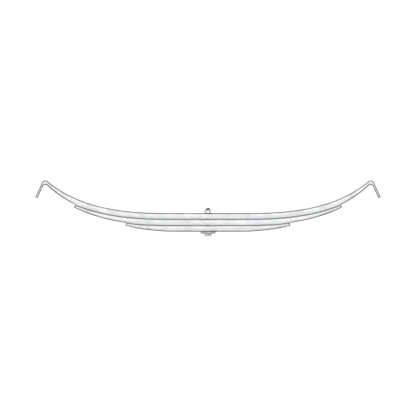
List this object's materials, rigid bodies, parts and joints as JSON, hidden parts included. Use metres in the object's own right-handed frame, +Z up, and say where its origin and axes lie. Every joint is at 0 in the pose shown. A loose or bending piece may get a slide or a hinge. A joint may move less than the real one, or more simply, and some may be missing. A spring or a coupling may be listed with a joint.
{
  "type": "leaf spring",
  "caption": "Tapered multi-leaf trailer slipper spring with turned-down hook ends, nested leaves, centre bolt with nut and a locating cup under the pack.",
  "frame": {"origin": "on the centre bolt's axis, in the plane of the third leaf's underside, where the spring sits on the axle's seat", "axes": "+X along the spring towards the rear hook, +Y across the leaves, +Z up, from the axle to the frame hangers"},
  "size_m": [1.13, 0.076, 0.1825],
  "materials": {
    "spring_steel": "shot-peened spring steel, satin, pale, with dark scale left on the rounded edges",
    "zinc_plated_bolt": "bright zinc plate, dark in the thread and on the turned-down corners",
    "turned_steel_cup": "turned steel, pale, fine tool marks"
  },
  "bodies": {
    "seat": {"main_leaf_seat": "spring_steel", "second_leaf_seat": "spring_steel", "third_leaf_seat": "spring_steel", "locating_cup": "turned_steel_cup", "centre_bolt": "zinc_plated_bolt", "centre_bolt_nut": "zinc_plated_bolt"},
    "main_front_arm": {"main_leaf_front": "spring_steel"},
    "main_rear_arm": {"main_leaf_rear": "spring_steel"},
    "second_front_arm": {"second_leaf_front": "spring_steel"},
    "second_rear_arm": {"second_leaf_rear": "spring_steel"},
    "third_front_arm": {"third_leaf_front": "spring_steel"},
    "third_rear_arm": {"third_leaf_rear": "spring_steel"}
  },
  "joints": [
    {"name": "main_front_flex", "type": "hinge", "parent": "seat", "child": "main_front_arm", "pos_m": [-0.21049, 0, 0.05286], "axis": [0, -1, 0], "range_deg": [0, 14], "stiffness_Nm_per_rad": 42000},
    {"name": "main_rear_flex", "type": "hinge", "parent": "seat", "child": "main_rear_arm", "pos_m": [0.21049, 0, 0.05286], "axis": [0, 1, 0], "range_deg": [0, 14], "stiffness_Nm_per_rad": 42000},
    {"name": "second_front_flex", "type": "hinge", "parent": "seat", "child": "second_front_arm", "pos_m": [-0.20901, 0, 0.03246], "axis": [0, -1, 0], "range_deg": [0, 13.58]},
    {"name": "second_rear_flex", "type": "hinge", "parent": "seat", "child": "second_rear_arm", "pos_m": [0.20901, 0, 0.03246], "axis": [0, 1, 0], "range_deg": [0, 13.58]},
    {"name": "third_front_flex", "type": "hinge", "parent": "seat", "child": "third_front_arm", "pos_m": [-0.20732, 0, 0.0147], "axis": [0, -1, 0], "range_deg": [0, 13.58]},
    {"name": "third_rear_flex", "type": "hinge", "parent": "seat", "child": "third_rear_arm", "pos_m": [0.20732, 0, 0.0147], "axis": [0, 1, 0], "range_deg": [0, 13.58]}
  ],
  "couplings": [
    {"joint": "second_front_flex", "follows": "main_front_flex", "ratio": 0.97},
    {"joint": "second_rear_flex", "follows": "main_rear_flex", "ratio": 0.97},
    {"joint": "third_front_flex", "follows": "main_front_flex", "ratio": 0.97},
    {"joint": "third_rear_flex", "follows": "main_rear_flex", "ratio": 0.97}
  ]
}
